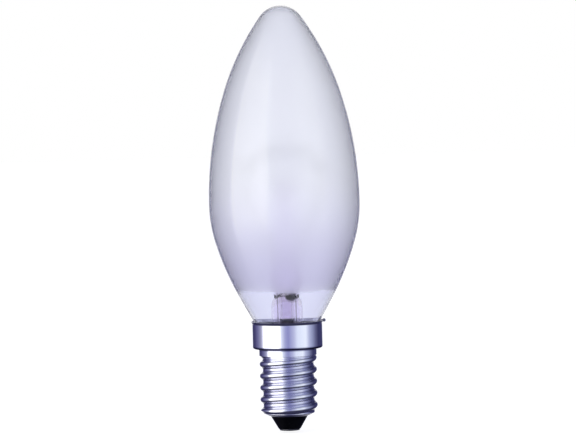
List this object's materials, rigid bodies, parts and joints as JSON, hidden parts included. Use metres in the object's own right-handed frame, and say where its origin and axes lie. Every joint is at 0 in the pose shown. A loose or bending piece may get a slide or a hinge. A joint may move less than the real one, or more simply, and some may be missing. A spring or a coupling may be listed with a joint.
{
  "type": "candle light bulb",
  "caption": "Frosted candle-shaped filament bulb with a clear neck, a small plated screw cap and a black glass insulator with a centre contact.",
  "frame": {"origin": "centre of the flat on the solder under the centre contact, the lowest point of the bulb", "axes": "+Z along the bulb's axis towards the glass tip, X through the two leads with the soldered lead at +X, -Y to the front"},
  "size_m": [0.0362, 0.0362, 0.1016],
  "materials": {
    "frosted_glass": "etched inside above the neck, clear below",
    "stem_glass": "clear",
    "support_wire": "drawn wire",
    "filament": "grey tungsten coil",
    "lead_wire": "nickel wire",
    "seal_wire": "copper-clad wire, red in the glass",
    "outer_lead": "copper wire",
    "cap_plating": "bright nickel plate on brass",
    "black_glass": "opaque black glass",
    "contact_metal": "dull plated brass",
    "solder": "dull solder",
    "cement": "baked basing cement"
  },
  "bodies": {
    "root": {"glass_envelope": "frosted_glass", "stem_flare": "stem_glass", "exhaust_tube": "stem_glass", "glass_support_rod": "stem_glass", "support_wire_left": "support_wire", "support_wire_right": "support_wire", "filament": "filament", "inner_lead_left": "lead_wire", "inner_lead_right": "lead_wire", "seal_wire_left": "seal_wire", "seal_wire_right": "seal_wire", "outer_lead_shell": "outer_lead", "outer_lead_contact": "outer_lead", "contact_tail": "outer_lead", "fuse_wire": "lead_wire", "fuse_bead": "stem_glass", "cap_shell": "cap_plating", "insulator": "black_glass", "centre_contact": "contact_metal", "contact_solder": "solder", "rim_solder": "solder", "basing_cement": "cement"}
  },
  "joints": []
}
